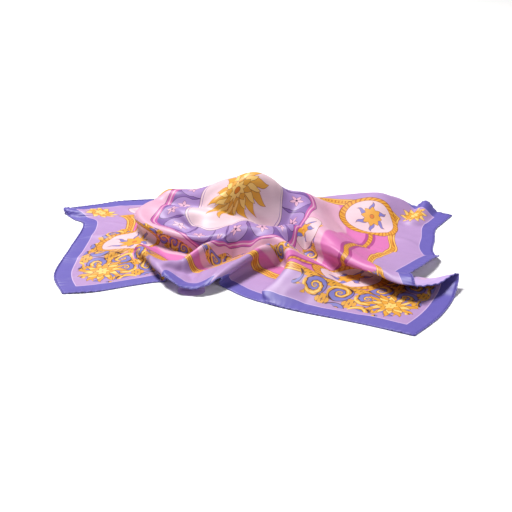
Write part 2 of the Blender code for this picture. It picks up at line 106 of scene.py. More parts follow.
# The folds, each a path along its crest.  Columns, all in mm: x, y and height of the crest where it
# ends up, how far it has leant in x and in y, and its width on the near and on the far side, near
# being the right hand of the path's direction.
FOLDS = {
    "dome": [
        (-186, 247, 58, 0, 0, 60, 110),
        (-120, 220, 74, 0, 0, 80, 130),
        (-70, 210, 95, 0, 0, 90, 140),
        (-20, 200, 113, 0, 0, 100, 140),
        (20, 200, 107, 0, 0, 100, 140),
        (50, 200, 88, 0, 0, 110, 135),
        (75, 205, 70, 0, 0, 100, 125),
        (100, 212, 54, 0, 0, 80, 120),
    ],
    "dome_brow": [
        (-85, 150, 80, -2, -6, 50, 60),
        (-62, 160, 90, 0, -10, 50, 60),
        (-30, 168, 98, 0, -10, 50, 60),
        (13, 178, 98, 0, -8, 50, 60),
        (36, 179, 86, 0, -4, 50, 60),
    ],
    "dome_front": [
        (-190, 170, 50, 0, 0, 64, 90),
        (-150, 145, 58, 0, 0, 66, 90),
        (-105, 125, 61, 0, 0, 62, 90),
        (-60, 112, 55, 0, 0, 56, 80),
        (-25, 105, 47, 0, 0, 50, 70),
    ],
    "ledge": [
        (-110, 92, 43, 0, 0, 50, 60),
        (-60, 66, 49, 0, 0, 56, 80),
        (-12, 66, 50, 0, 0, 60, 90),
        (36, 58, 50, 0, 0, 60, 90),
        (74, 70, 50, 0, 0, 60, 80),
    ],
    "front_lip": [
        (-196, 240, 46, -4, 0, 54, 56),
        (-228, 212, 50, -12, 2, 40, 56),
        (-250, 170, 49, -18, 0, 32, 56),
        (-240, 126, 45, -20, -8, 30, 56),
        (-208, 92, 43, -14, -18, 30, 52),
        (-172, 66, 42, -10, -20, 30, 50),
        (-138, 47, 43, -4, -20, 30, 46),
        (-105, 37, 44, 2, -16, 28, 44),
        (-80, 36, 46, 2, -10, 28, 44),
        (-62, 34, 46, 0, -4, 32, 44),
    ],
    "flap_left": [
        (-237, 42, 21, -4, -2, 30, 34),
        (-212, -26, 30, -18, -2, 25, 36),
        (-180, -94, 30, -22, -6, 23, 38),
        (-152, -138, 20, -14, -6, 22, 36),
    ],
    "flap_top": [
        (-164, -56, 22, 0, 0, 30, 30),
        (-133, -35, 36, 4, -4, 28, 30),
        (-97, -4, 50, 6, -6, 30, 34),
        (-70, 20, 46, 0, 0, 30, 34),
    ],
    "flap_right": [
        (-108, -146, 15, 4, -6, 22, 40),
        (-84, -128, 26, 10, -10, 22, 48),
        (-61, -104, 34, 16, -14, 24, 50),
        (-31, -68, 40, 18, -16, 24, 44),
        (2, -27, 45, 12, -14, 26, 40),
        (28, -7, 45, 2, -4, 28, 36),
    ],
    "arch_right": [
        (10, 28, 44, 0, 0, 30, 40),
        (40, 22, 50, 4, -4, 30, 40),
        (57, -10, 50, -10, -4, 22, 50),
        (63, -54, 47, -20, 0, 22, 70),
        (61, -90, 42, -24, 0, 22, 80),
        (49, -120, 31, -22, 2, 22, 80),
        (22, -148, 13, -14, 0, 22, 60),
    ],
    "front_panel": [
        (76, -88, 40, -18, 0, 40, 34),
        (100, -106, 35, -10, 2, 65, 34),
        (127, -126, 27, -2, 2, 80, 32),
        (160, -138, 17, 0, 2, 70, 30),
        (199, -150, 7, 0, 0, 60, 28),
    ],
    "big_roll": [
        (75, 235, 50, 0, 0, 100, 90),
        (100, 190, 56, -4, -2, 95, 85),
        (114, 125, 57, -8, -4, 85, 80),
        (128, 55, 56, -14, -8, 70, 85),
        (150, -3, 52, -15, -10, 55, 90),
        (175, -48, 45, -24, -24, 46, 95),
        (205, -84, 39, -36, -42, 45, 95),
        (238, -117, 38, -60, -72, 52, 90),
        (268, -142, 39, -86, -94, 66, 80),
        (292, -150, 43, -98, -100, 78, 77),
    ],
    "back_panel": [
        (110, 240, 38, 0, 0, 130, 50),
        (166, 275, 33, 0, 0, 130, 45),
        (220, 280, 37, 0, 0, 130, 45),
        (279, 280, 40, 0, 0, 120, 45),
        (312, 285, 26, 0, 0, 80, 40),
    ],
    "tip_wave": [
        (345, 200, 8, 0, 0, 30, 30),
        (365, 235, 18, 0, 0, 30, 30),
        (382, 275, 26, 0, 0, 30, 30),
    ],
    "corner_pinch": [
        (-430, 262, 10, 0, -4, 20, 30),
        (-390, 248, 12, 0, -4, 20, 30),
        (-345, 262, 4, 0, 0, 20, 30),
    ],
    "left_crease": [
        (-330, 10, 3, 0, 0, 30, 30),
        (-290, 45, 7, 0, 0, 30, 30),
        (-245, 40, 12, 0, 0, 30, 30),
    ],
}

# The bundle of hidden layers: its middle and half sizes in plan, then its layers from the table
# up.  Columns: share of the half sizes, share of the height under the cloth.
BUNDLE_MIDDLE = np.array([-0.030, 0.200])
BUNDLE_SIZE = np.array([0.150, 0.076])
BUNDLE_CLEAR = 0.0009    # under the cloth at its top
BUNDLE_LAYERS = [
    (1.000, 0.000), (1.020, 0.050), (1.000, 0.110), (0.940, 0.130), (0.955, 0.190),
    (0.930, 0.260), (0.860, 0.290), (0.875, 0.370), (0.840, 0.460), (0.760, 0.560),
    (0.640, 0.700), (0.480, 0.830), (0.300, 0.940), (0.140, 0.990),
]
BUNDLE_AROUND = 96       # points round each ring of it here
BUNDLE_RINGS = 60
BUNDLE_RIDGES = [(3, 0.2, 0.010), (7, 0.9, 0.006), (13, 0.4, 0.003)]   # folds round, turn, height

# The lip under the open end of the front flap: its middle and half sizes, and how far under the
# flap it stays where its back edge rises to it.
LIP_MIDDLE = (-0.122, -0.131)
LIP_SIZE = (0.026, 0.020)
LIP_CLEAR = 0.0008
LIP_CELLS = 40           # along each side of it here
LIP_RIM = 0.62           # its thickness at the rim, as a share of the thickness inside
LIP_WRINKLE = 0.0004     # height of its wrinkles
LIP_SEARCH = 40          # steps to the place on the flat cloth that ends up over each of its points

# Places where all the layers stand off the table together.  Columns: x, y, radius, height.
LIFTS = [
    (0.378, -0.050, 0.060, 0.008), (0.395, -0.105, 0.070, 0.018),
]


# ---------------------------------------------------------------- curves and the flat cloth
def spline(rows, steps):
    """Points on a smooth curve through the rows, evenly spaced along it; any number of columns."""
    rows = np.array(rows, float)
    padded = np.vstack([2 * rows[0] - rows[1], rows, 2 * rows[-1] - rows[-2]])
    fine = []
    for a, b, c, d in zip(padded, padded[1:], padded[2:], padded[3:]):
        t = np.linspace(0, 1, PATH_SAMPLES, endpoint=False)[:, None]
        fine.append(0.5 * (2 * b + (c - a) * t + (2 * a - 5 * b + 4 * c - d) * t ** 2
                           + (3 * b - a - 3 * c + d) * t ** 3))
    fine = np.vstack(fine + [rows[-1:]])
    along = np.r_[0, np.cumsum(np.linalg.norm(np.diff(fine[:, :2], axis=0), axis=1))]
    wanted = np.linspace(0, along[-1], steps)
    return np.stack([np.interp(wanted, along, column) for column in fine.T], axis=1)


def flat_point(u, v):
    """Plan position of the flat cloth: u runs left to right and v front to back, each 0 to 1."""
    def on_edge(name, t):
        curve = EDGE_CURVES[name]
        where = np.clip(t, 0, 1) * (len(curve) - 1)
        return np.stack([np.interp(where, np.arange(len(curve)), c) for c in curve.T], axis=-1)

    u_, v_ = u[..., None], v[..., None]
    front, back = on_edge("front", u), on_edge("back", u)
    left, right = on_edge("left", v), on_edge("right", v)
    corners = (CORNERS["front left"] * (1 - u_) * (1 - v_) + CORNERS["front right"] * u_ * (1 - v_)
               + CORNERS["back left"] * (1 - u_) * v_ + CORNERS["back right"] * u_ * v_)
    return front * (1 - v_) + back * v_ + left * (1 - u_) + right * u_ - corners


EDGE_CURVES = {name: spline(rows, EDGE_STEPS) for name, rows in EDGES.items()}
CORNERS = {f"{edge} {side}": EDGE_CURVES[edge][end]
           for edge in ("front", "back") for side, end in (("left", 0), ("right", -1))}


# ---------------------------------------------------------------- the folds
def bell(s):
    """1 at the crest, 0 with no slope at the foot."""
    return np.clip(1 - s * s, 0, None) ** 2


def smooth_step(x):
    """0 below 0, 1 above 1 and smooth between."""
    x = np.clip(x, 0, 1)
    return x * x * (3 - 2 * x)


def fold_field(points, rows):
    """Height and lean that one fold gives each plan point."""
    rows = np.array(rows) / 1000
    rows[:, :2] -= rows[:, 3:5]
    path = spline(rows, PATH_STEPS)
    foot, height, lean, near, far = path[:, :2], path[:, 2], path[:, 3:5], path[:, 5], path[:, 6]
    step = np.gradient(foot, axis=0)
    step /= np.linalg.norm(step, axis=1)[:, None]
    side = np.stack([step[:, 1], -step[:, 0]], axis=1)
    offset = points[:, None, :] - foot[None, :, :]
    squared = (offset ** 2).sum(-1)
    weight = np.exp(-(squared - squared.min(1, keepdims=True)) / PATH_BLUR ** 2)
    weight /= weight.sum(1, keepdims=True)
    across = (weight * (offset * side[None]).sum(-1)).sum(1)
    away = np.sqrt((weight * squared).sum(1) + TINY)
    nearness = (1 + np.clip(across / away, -1, 1)) / 2
    width = (weight @ far) * (1 - nearness) + (weight @ near) * nearness
    share = bell(away / width)
    carried = smooth_step((share - LEAN_FROM) / (LEAN_TO - LEAN_FROM))
    return (weight @ height) * share, (weight @ lean) * carried[:, None]


def raised(plan):
    """Where the folds carry each plan point of the flat cloth: its upper surface in space."""
    points = plan.reshape(-1, 2)
    powers, shift = np.zeros(len(points)), np.zeros((len(points), 2))
    for rows in FOLDS.values():
        height, lean = fold_field(points, rows)
        power = height ** CREASE_POWER
        powers += power
        shift += power[:, None] * lean
    points = points + shift / np.maximum(powers, TINY)[:, None]
    level = WALL + powers ** (1 / CREASE_POWER)
    for x, y, radius, height in LIFTS:
        level += height * bell(np.hypot(points[:, 0] - x, points[:, 1] - y) / radius)
    return np.concatenate([points, level[:, None]], axis=1).reshape(*plan.shape[:-1], 3)


def facing(plan):
    """Unit vectors at right angles to the cloth, pointing up out of its upper side."""
    along_x = raised(plan + [SLOPE_STEP, 0]) - raised(plan - [SLOPE_STEP, 0])
    along_y = raised(plan + [0, SLOPE_STEP]) - raised(plan - [0, SLOPE_STEP])
    normal = np.cross(along_x, along_y)
    return normal / np.linalg.norm(normal, axis=-1, keepdims=True)


def thread_measure(place):
    """How much of each row's threads to give each step: its length, and more where it bends."""
    step = np.diff(place, axis=1)
    length = np.linalg.norm(step, axis=2)
    heading = step / length[..., None]
    turn = np.arccos(np.clip((heading[:, 1:] * heading[:, :-1]).sum(-1), -1, 1))
    turn = np.pad(turn, ((0, 0), (1, 1)))
    measure = length + BEND_SHARE * (turn[:, 1:] + turn[:, :-1]) / 2
    spread = np.pad(measure, ((1, 1), (0, 0)), mode="edge")
    return (spread[:-2] + 2 * spread[1:-1] + spread[2:]) / 4


def even_threads(cells):
    """Where on the flat outline each crossing of the threads lies, so that they end up even."""
    u, v = np.meshgrid(np.linspace(0, 1, cells + 1), np.linspace(0, 1, cells + 1))
    for turned in (False, True) * EVEN_ROUNDS:
        place = raised(flat_point(u, v))
        if turned:
            u, v, place = u.T.copy(), v.T.copy(), place.transpose(1, 0, 2)
        along = np.pad(np.cumsum(thread_measure(place), axis=1), ((0, 0), (1, 0)))
        for k, row in enumerate(along):
            even = np.linspace(0, row[-1], cells + 1)
            u[k], v[k] = np.interp(even, row, u[k]), np.interp(even, row, v[k])
        if turned:
            u, v = u.T, v.T
    return u, v


# Soft creases in the cloth, ridges up and troughs down.  Columns: where each starts and ends on the
# flat cloth (u, v, u, v, each 0 to 1, from the left and from the front), half width, height.
CREASES = [
    (0.02, 0.13, 0.20, 0.34, 0.011, 0.0026), (0.05, 0.22, 0.19, 0.37, 0.008, -0.0020),
    (0.02, 0.33, 0.16, 0.40, 0.012, 0.0024), (0.08, 0.05, 0.20, 0.27, 0.009, 0.0020),
    (0.03, 0.46, 0.15, 0.45, 0.010, -0.0016), (0.01, 0.58, 0.12, 0.54, 0.014, 0.0022),
    (0.04, 0.72, 0.13, 0.62, 0.008, 0.0016), (0.00, 0.87, 0.09, 0.83, 0.007, 0.0022),
    (0.01, 0.93, 0.12, 0.88, 0.006, -0.0016), (0.13, 0.98, 0.17, 0.80, 0.010, 0.0018),
    (0.27, 0.03, 0.26, 0.20, 0.007, 0.0016), (0.33, 0.02, 0.31, 0.26, 0.009, -0.0020),
    (0.37, 0.05, 0.36, 0.22, 0.006, 0.0014), (0.42, 0.03, 0.40, 0.15, 0.008, 0.0016),
    (0.50, 0.10, 0.55, 0.30, 0.008, 0.0018), (0.55, 0.03, 0.58, 0.16, 0.007, -0.0014),
    (0.28, 0.64, 0.35, 0.50, 0.007, 0.0018), (0.24, 0.55, 0.33, 0.46, 0.006, -0.0015),
    (0.36, 0.72, 0.52, 0.66, 0.016, -0.0024), (0.44, 0.47, 0.58, 0.58, 0.012, 0.0020),
    (0.40, 0.36, 0.50, 0.42, 0.007, 0.0016), (0.52, 0.33, 0.60, 0.42, 0.006, -0.0014),
    (0.62, 0.74, 0.70, 0.60, 0.012, 0.0022), (0.66, 0.50, 0.76, 0.34, 0.009, -0.0020),
    (0.70, 0.47, 0.82, 0.30, 0.007, 0.0018), (0.78, 0.62, 0.97, 0.66, 0.010, 0.0026),
    (0.74, 0.58, 0.93, 0.57, 0.008, -0.0020), (0.80, 0.70, 0.97, 0.76, 0.009, 0.0024),
    (0.86, 0.76, 0.99, 0.84, 0.007, -0.0022), (0.88, 0.83, 0.98, 0.91, 0.008, 0.0028),
    (0.78, 0.88, 0.88, 0.96, 0.010, 0.0022), (0.90, 0.50, 0.99, 0.47, 0.006, 0.0014),
    (0.70, 0.04, 0.80, 0.17, 0.012, 0.0022), (0.84, 0.03, 0.93, 0.14, 0.010, -0.0018),
    (0.90, 0.08, 0.99, 0.20, 0.009, 0.0020), (0.62, 0.05, 0.64, 0.13, 0.006, 0.0016),
    (0.30, 0.99, 0.34, 0.84, 0.014, 0.0026), (0.42, 0.97, 0.44, 0.82, 0.011, -0.0022),
    (0.55, 0.98, 0.53, 0.85, 0.015, 0.0028), (0.66, 0.97, 0.62, 0.86, 0.009, -0.0020),
]
CREASE_LENGTH = (0.90, 0.66)     # metres of cloth along u and along v, for widths
CREASE_BOW = 0.10        # how far a crease bends aside in its middle, as a share of its length
CREASE_WANDER = 0.0016   # how far its line wanders, and in radians for each metre how fast
CREASE_WANDER_RATE = 95
CREASE_TAPER = 0.7       # how blunt its ends are; smaller is blunter

# Long low waves that keep the calm stretches from being glassy.  Columns: waves along u, along v,
# turns they start at, height.
WAVES = [
    (4.3, 2.9, 0.10, 0.0007), (-2.7, 5.2, 0.45, 0.0006), (7.6, -3.4, 0.80, 0.0004),
    (5.1, 8.3, 0.25, 0.0003), (-11.7, 6.1, 0.60, 0.0002),
]
# Where the printed edge is turned under at the flap's two arms, so that its border is out of sight.
# Columns: from and to along x on the flat cloth, metres turned under.
TURNED_UNDER = [(-0.190, -0.154, 0.036), (-0.102, -0.073, 0.034)]
TURN_SOFT = 0.009        # metres along the edge over which a turn begins or ends
TURN_REACH = 0.100       # metres into the cloth over which it fades out
PUCKER_PITCH = 0.013     # metres from one pucker of the hem to the next
PUCKER_HEIGHT = 0.0008
PUCKER_REACH = 0.009     # metres into the cloth over which the puckers fade out
HEM_RADIUS = 0.0012
HEM_OUT = 0.0008         # from the cloth's edge out to the middle of the roll
HEM_SIDES = 10
HEM_FINER = 2            # hem rings for each cell of the cloth
# How the roll's thickness varies along it: share, then radians for each metre of each sine.
HEM_PLUMP = (0.10, 620, 173)
HEM_FINE = (0.05, 1490)
STITCH_EVERY = 3         # hem rings from one stitch to the next
STITCH_RADIUS = 0.00022
STITCH_LEAN = 0.0011     # metres along the hem that each stitch slants to either side
STITCH_FROM, STITCH_TO = -0.35, 1.15     # half turns round the roll, from its outer side
STITCH_POINTS = 7
STITCH_SIDES = 5


def finer(grid, cells):
    """The same values on a finer grid."""
    old, new = np.linspace(0, 1, len(grid)), np.linspace(0, 1, cells + 1)
    grid = np.stack([np.interp(new, old, row) for row in grid])
    return np.stack([np.interp(new, old, row) for row in grid.T]).T


def softened(grid, passes):
    """Each value averaged with its neighbours; the edges keep theirs."""
    for _ in range(passes):
        inner = (grid[:-2, 1:-1] + grid[2:, 1:-1] + grid[1:-1, :-2] + grid[1:-1, 2:]) / 4
        grid = grid.copy()
        grid[1:-1, 1:-1] = (grid[1:-1, 1:-1] + inner) / 2
    return grid


def grid_normals(points):
    """Unit vectors out of the upper side of a grid of points."""
    normal = np.cross(np.gradient(points, axis=1), np.gradient(points, axis=0))
    return normal / np.maximum(np.linalg.norm(normal, axis=-1, keepdims=True), TINY)


def fine_relief(u, v, edge):
    """How far creases, waves and the hems' puckers raise each point of the cloth."""
    height = np.zeros_like(u)
    x, y = u * CREASE_LENGTH[0], v * CREASE_LENGTH[1]
    for number, (u0, v0, u1, v1, half, rise) in enumerate(CREASES):
        x0, y0, x1, y1 = (a * b for a, b in zip((u0, v0, u1, v1), CREASE_LENGTH * 2))
        long = math.hypot(x1 - x0, y1 - y0)
        ax, ay = (x1 - x0) / long, (y1 - y0) / long
        along = ((x - x0) * ax + (y - y0) * ay) / long
        # each crease bows to its own side by its own amount, from its number
        bow = CREASE_BOW * long * np.sin(math.pi * np.clip(along, 0, 1)) * math.sin(number * 2.4)
        wander = CREASE_WANDER * np.sin(long * along * CREASE_WANDER_RATE + number)
        off = (x - x0) * -ay + (y - y0) * ax - bow - wander
        fade = np.clip(4 * along * (1 - along), 0, None) ** CREASE_TAPER
        height += rise * fade * np.exp(-(off / (half * (0.55 + 0.45 * fade))) ** 2)
    for wave_u, wave_v, turn, rise in WAVES:
        height += rise * np.sin(2 * math.pi * (wave_u * u + wave_v * v + turn))
    run = np.where(np.minimum(u, 1 - u) < np.minimum(v, 1 - v), y, x)
    # the second sine makes the pitch uneven
    pucker = np.sin(2 * math.pi * run / PUCKER_PITCH + 2.1 * np.sin(run * 61))
    return height + PUCKER_HEIGHT * pucker * np.exp(-edge / PUCKER_REACH)


def turned_under(x, front):
    """How much of the print is turned under at each place, from x along the front edge."""
    deep = sum(most * smooth_step((x - start) / TURN_SOFT) * smooth_step((end - x) / TURN_SOFT)
               for start, end, most in TURNED_UNDER)
    return deep * (1 - smooth_step(front / TURN_REACH))


def shell_mesh(name, upper, thickness, values):
    """A closed thin shell from a grid of points: its upper side, its reverse and its rim."""
    rows, columns = upper.shape[:2]
    lower = upper - softened(grid_normals(upper), SHELL_SOFTENING) * thickness
    lower[..., 2] = np.maximum(lower[..., 2], TABLE_CLEAR)
    count = rows * columns
    index = np.arange(count).reshape(rows, columns)
    a, b, c, d = index[:-1, :-1], index[:-1, 1:], index[1:, 1:], index[1:, :-1]
    top = np.stack([a, b, c, d], axis=-1).reshape(-1, 4)
    around = np.concatenate([index[0, :-1], index[:-1, -1], index[-1, :0:-1], index[:0:-1, 0]])
    onward = np.roll(around, -1)
    rim = np.stack([around, around + count, onward + count, onward], axis=-1)
    faces = np.concatenate([top, top[:, ::-1] + count, rim])
    mesh = bpy.data.meshes.new(name)
    mesh.from_pydata(np.concatenate([upper.reshape(-1, 3), lower.reshape(-1, 3)]), [], faces)
    reverse = np.zeros(len(faces), np.int32)
    reverse[len(top):2 * len(top)] = 1
    mesh.polygons.foreach_set("material_index", reverse)
    for title, value in values.items():
        keep_place(mesh, title, np.tile(value.reshape(-1, 3), (2, 1)))
    mesh.shade_smooth()
    return mesh


def keep_place(mesh, title, places):
    """Keeps one measure of where each point lies on the printed square."""
    kept = mesh.attributes.new(title, "FLOAT_VECTOR", "POINT")
    kept.data.foreach_set("vector", places.astype(np.float32).ravel())


def put(name, data, spot=None):
    """An object in the scene.  One that gets a spot stands there and points at the target."""
    made = bpy.data.objects.new(name, data)
    bpy.context.scene.collection.objects.link(made)
    if spot is not None:
        made.location = spot
        aim = Vector(TARGET) - Vector(spot)
        made.rotation_euler = aim.to_track_quat("-Z", "Y").to_euler()
    return made


def dressed(name, mesh, slot, replaced, *materials):
    """Adds a piece that rides on the part and stands for its solids."""
    for material in materials:
        mesh.materials.append(material)
    piece = put(name, mesh)
    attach(piece, "root")
    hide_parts(*replaced)
    return piece


def tube(path, radius, out, up, sides):
    """Rings of points round a path and the quads between them, with capped ends."""
    turns = np.linspace(0, 2 * math.pi, sides, endpoint=False)
    spokes = (np.cos(turns)[None, :, None] * out[:, None]
              + np.sin(turns)[None, :, None] * up[:, None])
    ring = path[:, None] + radius[:, None, None] * spokes
    count = len(path)
    faces = [(r * sides + k, (r + 1) * sides + k, (r + 1) * sides + (k + 1) % sides,
              r * sides + (k + 1) % sides) for r in range(count - 1) for k in range(sides)]
    last = (count - 1) * sides
    faces += [tuple(range(sides)), tuple(range(count * sides - 1, last - 1, -1))]
    return ring.reshape(-1, 3), faces


def unit(vectors):
    """The same directions with a length of one."""
    return vectors / np.maximum(np.linalg.norm(vectors, axis=-1, keepdims=True), TINY)


def rolled_hem(name, line, normals, hand, node):
    """A hand-rolled hem along one edge: a plump uneven roll with slanting stitches over it."""
    count = (len(line) - 1) * HEM_FINER + 1
    old, new = np.linspace(0, 1, len(line)), np.linspace(0, 1, count)
    line, normals = (np.stack([np.interp(new, old, c) for c in a.T], axis=1)
                     for a in (line, normals))
    along = unit(np.gradient(line, axis=0))
    out = unit(hand * np.cross(along, normals))
    up = unit(np.cross(out, along)) * hand
    run = np.r_[0, np.cumsum(np.linalg.norm(np.diff(line, axis=0), axis=1))]
    plump = HEM_PLUMP[0] * np.sin(run * HEM_PLUMP[1]) * np.sin(run * HEM_PLUMP[2])
    radius = HEM_RADIUS * (1 + plump + HEM_FINE[0] * np.sin(run * HEM_FINE[1]))
    path = line - up * SHELL / 2 + out * HEM_OUT
    path[:, 2] = np.maximum(path[:, 2], radius + TABLE_CLEAR)
    points, faces = tube(path, radius, out, up, HEM_SIDES)
    kinds = [0] * len(faces)
    arc = np.linspace(STITCH_FROM, STITCH_TO, STITCH_POINTS)[:, None] * math.pi
    slant = np.linspace(-1, 1, STITCH_POINTS)[:, None]
    for k in range(2, count - 2, STITCH_EVERY):
        outward = np.cos(arc) * out[k] + np.sin(arc) * up[k]
        spot = (path[k] + (radius[k] + STITCH_RADIUS * 0.6) * outward
                + along[k] * STITCH_LEAN * slant)
        spot[:, 2] = np.maximum(spot[:, 2], STITCH_RADIUS + TABLE_CLEAR)
        more, more_faces = tube(spot, np.full(STITCH_POINTS, STITCH_RADIUS), unit(outward),
                                np.tile(along[k], (STITCH_POINTS, 1)), STITCH_SIDES)
        faces += [tuple(i + len(points) for i in f) for f in more_faces]
        kinds += [1] * len(more_faces)
        points = np.concatenate([points, more])
    mesh = bpy.data.meshes.new(name)
    mesh.from_pydata(points, [], faces)
    mesh.polygons.foreach_set("material_index", kinds)
    mesh.shade_smooth()
    return dressed(name, mesh, "hem_silk", [node], rolled, thread)


# ---------------------------------------------------------------- dyes and the printed design
def dye(*screen):
    """A colour as seen on a screen, 0 to 255 each, as the linear one that shaders take."""
    return tuple(((c / 255 + 0.055) / 1.055) ** 2.4 if c > 10 else c / 3295 for c in screen) + (1,)


BORDER = dye(102, 92, 174)
BORDER_LINE = dye(208, 180, 220)     # inside the border
LILAC = dye(176, 142, 192)
PINK = dye(208, 112, 174)
DEEP_PINK = dye(168, 68, 136)
BLUSH = dye(218, 166, 192)
CREAM = dye(222, 192, 202)
PURPLE = dye(160, 128, 186)
PLUM = dye(120, 84, 154)
MAGENTA = dye(188, 84, 158)
BLUE = dye(124, 118, 188)
DARK = dye(56, 22, 78)
GOLD = dye(222, 158, 54)
PALE_GOLD = dye(244, 200, 112)
CORD_SHADE = dye(186, 112, 36)
AMBER = dye(214, 118, 34)
OCHRE = dye(138, 78, 28)
DARK_OCHRE = dye(84, 40, 32)
REVERSE = dye(206, 178, 228)         # the cloth's other side
HEM_DYE = dye(94, 84, 170)
THREAD_DYE = dye(176, 170, 232)

SOFT = 0.0006            # metres over which one dye gives way to the next
SWAY = 0.0045            # metres by which rows of curls wander
CURL_GROWTH = 4.2        # how much wider a curl gets in one turn
CURL_RIM = 0.47          # how far a curl's dark rim reaches, as a share of its cell,
CURL_HEART = 0.44        # and the blue inside it
# A curl's strokes, each over the last.  Columns: half width in turns, softness, dye.
STROKES = [(0.28, 0.04, DARK_OCHRE), (0.20, 0.04, GOLD), (0.07, 0.05, PALE_GOLD)]

# Radii round the middle of the design, metres.
HEART = 0.120            # cream, inside the ring of lobes
LOBE_RING = 0.156        # middles of the lobes
LOBE = 0.027
LOBES = 16
PLUM_RING = 0.187        # behind the lobes
MEDALLION = 0.200
GARLAND = 0.240          # middle of the band of curls
GARLAND_CURLS = 40       # in a whole turn of it
PALE_FIELD = 0.276
CORD_RING = 0.330
# Distances from the edges of the cloth, metres.
BORDER_WIDE = 0.0285
LINE_WIDE = 0.0300       # the border and the thin line inside it together
MARGIN_WIDE = 0.094
BRAID = 0.101            # middle of the gold braid
CORNERS_DEEP = 0.330     # how far back the front corners' scrolls can reach
CORNERS_LEFT, CORNERS_RIGHT = 0.200, 0.300     # how far they reach from the left and the right
CORNER_FLOWER = (0.084, 0.082)
CORNER_SPRIG = (0.070, 0.062)    # at the back

# Ovals with a flower.  Columns: middle from the centre of the design, half sizes, tilt in turns,
# petals, corded rim or not.
OVALS = [
    (0.318, 0.122, 0.066, 0.050, 0.02, 8, 1), (0.206, -0.060, 0.042, 0.048, 0.05, 6, 0),
    (-0.292, -0.096, 0.066, 0.076, -0.03, 8, 1), (0.306, -0.236, 0.060, 0.044, -0.04, 7, 1),
    (-0.236, 0.150, 0.042, 0.050, 0.05, 6, 0), (0.020, 0.282, 0.060, 0.042, 0.00, 8, 1),
]
# Layers of the middle flower.  Columns: petals, where they start and end, half width, turn, dye.
FLOWER = [
    (12, 0.020, 0.076, 0.0098, 0.10, GOLD), (12, 0.018, 0.055, 0.0064, 0.362, PALE_GOLD),
    (9, 0.006, 0.034, 0.0070, 0.05, GOLD), (9, 0.004, 0.021, 0.0044, 0.40, PALE_GOLD),
]
# Flowers in the corner scrolls, the same columns.
SPRAY = [
    (12, 0.014, 0.046, 0.0046, 0.22, GOLD), (10, 0.010, 0.034, 0.0048, 0.00, PALE_GOLD),
    (8, 0.003, 0.024, 0.0056, 0.30, GOLD), (6, 0.001, 0.013, 0.0036, 0.10, PALE_GOLD),
]


class Sum:
    """A number that shader nodes work out, so that a design can be written as arithmetic."""
    def __init__(self, socket):
        self.socket = socket

    def __add__(self, other):
        return work("ADD", self, other)

    def __sub__(self, other):
        return work("SUBTRACT", self, other)

    def __rsub__(self, other):
        return work("SUBTRACT", other, self)

    def __mul__(self, other):
        return work("MULTIPLY", self, other)

    def __truediv__(self, other):
        return work("DIVIDE", self, other)

    __radd__, __rmul__ = __add__, __mul__


def work(kind, *values, clamp=False):
    """One Math node."""
    node = PRINT.nodes.new("ShaderNodeMath")
    node.operation = kind
    node.use_clamp = clamp
    for socket, value in zip(node.inputs, values):
        if isinstance(value, Sum):
            PRINT.links.new(value.socket, socket)
        else:
            socket.default_value = value
    return Sum(node.outputs[0])


def distance(x, y):
    """From nought, as the shader works it out."""
    return work("SQRT", work("MULTIPLY_ADD", x, x, y * y))


def cover(reach, soft=SOFT):
    """1 inside a shape, 0 outside, from how far outside its line a point is."""
    return work("MULTIPLY_ADD", reach, -1 / soft, 0.5, clamp=True)


def colour_mix(nodes):
    """A node that mixes two colours, its inputs 6 and 7, by the share at its input 0."""
    node = nodes.new("ShaderNodeMix")
    node.data_type = "RGBA"
    return node


def paint(under, share, colour):
    """A dye over what is under it."""
    node = colour_mix(PRINT.nodes)
    for number, value in ((0, share), (6, under), (7, colour)):
        if isinstance(value, Sum):
            PRINT.links.new(value.socket, node.inputs[number])
        elif hasattr(value, "is_output"):
            PRINT.links.new(value, node.inputs[number])
        else:
            node.inputs[number].default_value = value
    return node.outputs[2]


def outlined(under, reach, colour, line, soft=SOFT, edge=DARK):
    """A filled shape with a line round it."""
    return paint(paint(under, cover(reach - line, soft), edge), cover(reach, soft), colour)


def petals(x, y, count, near, far, half, shift=0.0, wave=0.0):
    """How far outside the nearest of a ring of pointed petals a point is."""
    away = distance(x, y)
    turn = work("ARCTAN2", y, x) + shift
    if wave:
        turn = turn + wave * work("SINE", away * (9.0 / far))
    step = 2 * math.pi / count
    off = work("ABSOLUTE", work("FLOORED_MODULO", turn + step / 2, step) - step / 2)
    along = (away * work("COSINE", off) - near) / (far - near)
    plump = 1.25 - 0.5 * work("MINIMUM", along, 1.0)
    return away * work("SINE", off) - along * (1 - along) * plump * (4 * half)


def curls(a, b, pitch, side):
    """Spiral curls in square cells, turned about in every other one: the stroke, and the reach."""
    away = distance(a, b)
    turn = work("ARCTAN2", b * side, a)
    arm = work("FRACT", turn / (2 * math.pi) + work("LOGARITHM", away / pitch, CURL_GROWTH))
    return work("ABSOLUTE", arm - 0.5), away / pitch


def parity(cell):
    """1 in even cells and -1 in odd ones."""
    return 1 - 2 * work("FLOORED_MODULO", cell, 2)


